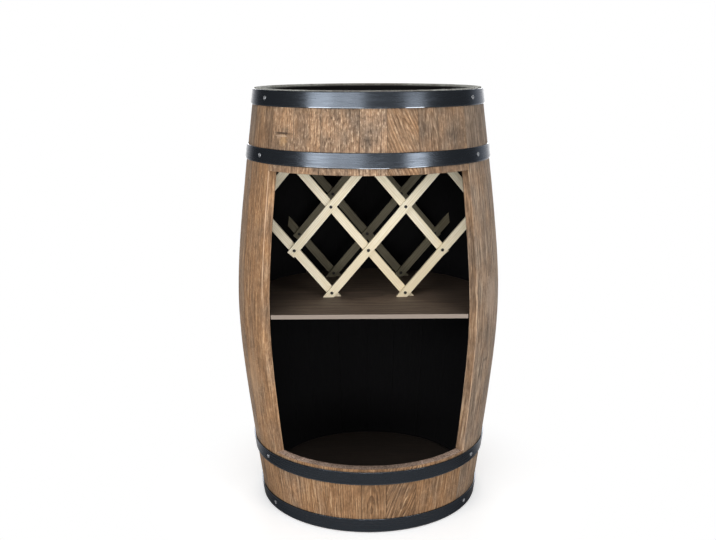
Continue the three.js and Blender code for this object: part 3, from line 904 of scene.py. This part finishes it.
def board_material(name, dark_share, turn, pale, mid, dark, pith=(0.011, 0.023), edge=None, dull=0.0):
    """Wood for a node that keeps its mesh, whose length is an axis that is turned about Y.

    The pith moves the middle of the rings in the two directions across the length. The edge gives the
    facing to the front at which a paler colour starts, and that colour: painted light on the faces that look
    to the front, and a painted shade towards the ends in X. The dull share is a painted shade that darkens
    the wood low down, less at the left than in the middle and at the right.
    """
    tree = Tree(name)
    where = tree.place()
    x, _y, z = tree.split(where)
    mapping = tree.add("Mapping", vector_type="POINT")
    mapping.inputs["Rotation"].default_value = (0, turn, 0)
    mapping.inputs["Location"].default_value = (*pith, HEIGHT / 2)
    tree.feed(mapping.inputs["Vector"], where)
    grain = mapping.outputs[0]
    late, streaks, fibres = wood_figure(tree, grain, grain, 0.0038, 0.010)
    colour = tree.mix(tree.range(streaks, 0.3, 0.7), mid, pale)
    colour = tree.mix(tree.math("MULTIPLY", late, dark_share), colour, dark)
    pores = tree.range(fibres, 0.34, 0.44, 1.0, 0.0)
    colour = tree.mix(tree.math("MULTIPLY", pores, dark_share * 0.7), colour, dark)
    # Painted shade low down on the front slats
    if dull:
        low_shade = tree.range(z, *SLAT_SHADE_HEIGHTS, dull, 0.0)
        inward = tree.range(x, *SLAT_SHADE_START, 0.15, 1.0)
        colour = tree.mix(tree.math("MULTIPLY", low_shade, inward), colour, dark)
    if edge:
        facing, worn = edge
        # Darker towards the ends in X: painted shade where the shelf meets the staves
        colour = tree.mix(tree.range(tree.math("ABSOLUTE", x), 0.11, 0.17, 0.0, 0.6), colour, dark)
        # Faces that look to the front take the paler colour: painted light
        normal_y = tree.split(tree.add("NewGeometry").outputs["Normal"])[1]
        to_front = tree.math("MULTIPLY", normal_y, -1.0)
        colour = tree.mix(tree.range(to_front, facing, 0.98), colour, worn)
    tree.set("Base Color", colour)
    tree.set("Roughness", tree.range(fibres, 0.3, 0.7, 0.72, 0.55, smooth=False))
    relief = tree.math("ADD", streaks, tree.math("MULTIPLY", fibres, 0.4))
    tree.set("Normal", tree.bump(relief, 0.0004, 0.6))
    return tree.owner


# Pale, middle and dark colours, and each board's pith: depth, distance across and slant
HEAD_COLOURS = {
    "front": (rgb(160, 130, 102), rgb(126, 100, 76), rgb(78, 58, 42)),
    "middle": (rgb(146, 116, 88), rgb(112, 86, 64), rgb(68, 48, 34)),
    "back": (rgb(156, 124, 92), rgb(120, 92, 68), rgb(74, 52, 38)),
}
HEAD_PITHS = {"front": (0.034, 0.02, 0.06), "middle": (0.046, -0.035, -0.05), "back": (0.03, 0.04, 0.045)}
DARK_OAK_COLOURS = (rgb(62, 52, 44), rgb(44, 37, 32), rgb(24, 20, 18))
SHELF_COLOURS = (rgb(124, 106, 91), rgb(96, 81, 69), rgb(58, 47, 39))
PINE_COLOURS = (rgb(252, 243, 220), rgb(240, 226, 194), rgb(206, 188, 150))
# The rear lattice's pine, darker: painted shade of the inside
SHADED_PINE_COLOURS = (rgb(118, 111, 86), rgb(100, 92, 70), rgb(76, 68, 50))

DARK_OAK = board_material("dark_oak", 0.5, QUARTER, *DARK_OAK_COLOURS)
# The shelf's front faces take a painted light, and its ends a painted shade
SHELF_OAK = board_material("shelf_oak", 0.5, QUARTER, *SHELF_COLOURS, edge=(0.7, rgb(140, 127, 116)))
SLAT_TURN = math.atan2(LATTICE_RISE, LATTICE_PITCH / 2)
PINES = {}
for direction, turn in (("rising", SLAT_TURN - QUARTER), ("falling", QUARTER - SLAT_TURN)):
    # The front slats take a painted shade low down
    PINES["front", direction] = board_material(f"pine_{direction}", 0.35, turn, *PINE_COLOURS, dull=0.6)
    # The rear slats take the darker copy: painted shade
    PINES["rear", direction] = board_material(f"shaded_pine_{direction}", 0.35, turn, *SHADED_PINE_COLOURS)


def finish_node(name, material, width):
    """The node keeps its mesh, and gets the material and a bevel of that width."""
    node = nodes[name]
    node.data.materials.clear()
    node.data.materials.append(material)
    bevel = node.modifiers.new("edges", "BEVEL")
    bevel.width = width
    bevel.segments = 3
    bevel.limit_method = "ANGLE"
    bevel.angle_limit = math.radians(40)
    bevel.harden_normals = True


def head_board_material(name):
    """Oak whose rings arch along the board: its pith lies below the board and runs at a slant to it."""
    which = name.split("_")[-1]
    depth, across, slant = HEAD_PITHS[which]
    low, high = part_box(name)
    pith = (depth - high.z, across - (low.y + high.y) / 2)
    return board_material(f"head_oak_{which}", 0.6, QUARTER + slant, *HEAD_COLOURS[which], pith)


for name in nodes:
    if name.startswith("top_head"):
        finish_node(name, head_board_material(name), BOARD_BEVEL)
    elif name.startswith(("bottom_head", "shelf_cleat")):
        finish_node(name, DARK_OAK, BOARD_BEVEL)
    elif name == "shelf":
        finish_node(name, SHELF_OAK, SHELF_BEVEL)
    elif "slat" in name:
        words = name.split("_")
        finish_node(name, PINES[words[0], words[2]], SLAT_BEVEL)

# Pins in the lattices' recesses

PIN_RADIUS = 0.0031
PIN_RISE = 0.0006
PIN_RIM = 0.0002
# The pins' feet lie this far inside the front face of the rising slats
PIN_SINK = 0.0016


def pin_material():
    tree = Tree("dark_pin")
    cloud = tree.noise(tree.place(), 700.0, detail=2.0)
    tree.set("Base Color", tree.mix(cloud, (0.012, 0.011, 0.01, 1), (0.03, 0.027, 0.024, 1)))
    tree.set("Metallic", 0.6)
    tree.set("Roughness", 0.5)
    return tree.owner


DARK_PIN = pin_material()

for lattice in ("front_lattice", "rear_lattice"):
    face_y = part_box(f"{lattice}_rising_slat_long")[0].y
    parts = []
    for column, row in CROSSINGS:
        verts, faces = dome(PIN_RADIUS, PIN_RISE, PIN_RIM, 0.0)
        z = SHELF_HEIGHT + FOOT_CROSSING_HEIGHT + row * LATTICE_RISE
        where = Matrix.Translation((column * LATTICE_PITCH / 2, face_y + PIN_SINK, z))
        turn = Matrix.Rotation(QUARTER, 4, "X")
        parts.append(([tuple(where @ turn @ Vector(v)) for v in verts], faces))
    pins = make_piece(f"{lattice}_pins", *joined(parts), [DARK_PIN], sharp=math.radians(50))
    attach(pins, "root")

# Floor and world

WHITE = grey(1.0)
FLOOR_RADIUS = 14.0
FLOOR_DROP = 0.0004
# Distances from the middle of the foot between which the shaded floor goes over into white
SHADE_REACH = (0.24, 0.46)
# What the shaded floor adds to the light that the camera sees on it
FLOOR_GLOW = 0.36
# Strength of the room's light from the front and from behind
AMBIENT_FRONT = 0.42
AMBIENT_BACK = 0.24


def mirrored_studio(tree, x, y):
    """Brightness that the hoops mirror from the direction (x, y): high behind, further round at the right."""
    left_front = tree.range(y, -1.0, 0.2, AMBIENT_FRONT, 0.2)
    left_back = tree.range(y, 0.67, 1.0, 0.25, 2.7)
    right_front = tree.range(y, -1.0, 0.0, AMBIENT_FRONT, 0.22)
    right_back = tree.range(y, 0.43, 1.0, 0.25, 3.3, smooth=False)
    left = tree.math("MAXIMUM", left_front, left_back)
    right = tree.math("MAXIMUM", right_front, right_back)
    return tree.range(x, -0.2, 0.2, left, right)


def floor_material():
    """White to the camera away from the cask. Near it, the floor takes the light and keeps the shadow.

    The hoops mirror a grey floor near the foot, a bright one beside and behind it, and else the studio.
    """
    tree = Tree("studio_floor")
    where = tree.place()
    path = tree.add("LightPath").outputs
    seen = path["Is Camera Ray"]
    mirrored = path["Is Glossy Ray"]
    tone = tree.mix(tree.noise(where, 3.0), grey(0.9), grey(0.92))
    x, y, _z = tree.split(where)
    near = tree.mix(tree.range(y, -0.25, 0.25), grey(0.62), grey(0.28))
    unseen = tree.mix(mirrored, grey(0.5), near)
    tree.set("Base Color", tree.mix(seen, unseen, tone))
    tree.set("Roughness", 0.9)
    tree.set("Specular IOR Level", 0.0)
    glow = tree.add("Emission")
    tree.feed(glow.inputs["Strength"], tree.math("MULTIPLY", seen, FLOOR_GLOW))
    lit = tree.add("AddShader")
    tree.links.new(tree.shader.outputs[0], lit.inputs[0])
    tree.links.new(glow.outputs[0], lit.inputs[1])
    far = tree.add("Emission")
    far.inputs["Color"].default_value = WHITE
    reach = tree.length(where)
    studio = mirrored_studio(tree, tree.math("DIVIDE", x, reach), tree.math("DIVIDE", y, reach))
    beside = tree.math("MULTIPLY", tree.range(reach, 0.6, 1.2, 1.6, 0.0), tree.range(y, -0.1, 0.15))
    studio = tree.math("MAXIMUM", studio, beside)
    tree.feed(far.inputs["Strength"], tree.math("ADD", seen, tree.math("MULTIPLY", mirrored, studio)))
    away = tree.math("MULTIPLY", tree.range(reach, *SHADE_REACH), tree.math("ADD", seen, mirrored))
    both = tree.add("MixShader")
    tree.feed(both.inputs[0], away)
    tree.links.new(lit.outputs[0], both.inputs[1])
    tree.links.new(far.outputs[0], both.inputs[2])
    tree.links.new(both.outputs[0], tree.nodes["Material Output"].inputs["Surface"])
    return tree.owner


def studio_world():
    """White to the camera, the mirrored studio to glossy rays, and to others a room that is dimmer behind."""
    tree = Tree("studio", bpy.data.worlds)
    x, y, _z = tree.split(tree.add("TexCoord").outputs["Generated"])
    path = tree.add("LightPath").outputs
    ambient = tree.range(y, -1.0, 1.0, AMBIENT_FRONT, AMBIENT_BACK, smooth=False)
    strength = tree.blend(path["Is Glossy Ray"], ambient, mirrored_studio(tree, x, y))
    background = tree.nodes["Background"]
    background.inputs["Color"].default_value = WHITE
    tree.feed(background.inputs["Strength"], tree.blend(path["Is Camera Ray"], strength, 1.0))
    return tree.owner


bpy.ops.mesh.primitive_circle_add(
    vertices=96, radius=FLOOR_RADIUS, fill_type="NGON", location=(0, 0, -FLOOR_DROP))
floor = bpy.context.object
floor.name = "floor"
floor.data.materials.append(floor_material())

scene = bpy.context.scene
scene.view_settings.view_transform = "Standard"
scene.world = studio_world()

# Lamps and camera

AIM = Vector((0, AXIS_Y, 0.5))
# Each lamp's name, degrees round from the front, distance from the axis, level, width, height and watts
LAMPS = [
    ("key_left", -45.7, 2.6, 1.12, 0.98, 0.6, 16),
    ("front_left", -20, 2.6, 1.2, 1.4, 0.65, 13.5),
    ("fill_right", 42.5, 2.6, 0.93, 0.8, 0.5, 12),
    ("front_low", 4, 2.6, 0.36, 1.2, 0.5, 22),
    ("top_front", 10, 1.7, 2.3, 1.6, 1.0, 12),
    ("back", 180, 2.6, 1.4, 1.8, 0.9, 28),
]


def softbox(name, azimuth, distance, z, width, height, power):
    """A rectangular lamp that looks at a point on the cask's axis."""
    light = bpy.data.lights.new(name, "AREA")
    light.shape = "RECTANGLE"
    light.size = width
    light.size_y = height
    light.energy = power
    lamp = bpy.data.objects.new(name, light)
    lamp.location = point_at(math.radians(azimuth), distance, z)
    lamp.rotation_euler = (AIM - lamp.location).to_track_quat("-Z", "Y").to_euler()
    scene.collection.objects.link(lamp)


for lamp_values in LAMPS:
    softbox(*lamp_values)

CAMERA_DISTANCE = 1.828
CAMERA_HEIGHT = 0.869
CAMERA_PITCH = 0.2337
CAMERA_AZIMUTH = math.radians(-0.85)
CAMERA_ROLL = -0.0027
FRAME_WIDTH = 716
FRAME_HEIGHT = 540
FOCAL_PIXELS = 947.8
PRINCIPAL_X = 368.35
PRINCIPAL_Y = 280.0
SENSOR = 36.0

lens = bpy.data.cameras.new("camera")
lens.sensor_width = SENSOR
lens.lens = FOCAL_PIXELS * SENSOR / FRAME_WIDTH
lens.shift_x = (FRAME_WIDTH / 2 - PRINCIPAL_X) / FRAME_WIDTH
lens.shift_y = (PRINCIPAL_Y - FRAME_HEIGHT / 2) / FRAME_WIDTH
lens.clip_start = 0.05
lens.clip_end = 60
camera = bpy.data.objects.new("camera", lens)
camera.location = point_at(CAMERA_AZIMUTH, CAMERA_DISTANCE, CAMERA_HEIGHT)
camera.rotation_mode = "QUATERNION"
heading = Euler((QUARTER - CAMERA_PITCH, 0, CAMERA_AZIMUTH), "XYZ").to_quaternion()
camera.rotation_quaternion = heading @ Euler((0, 0, CAMERA_ROLL), "XYZ").to_quaternion()
scene.collection.objects.link(camera)
scene.camera = camera
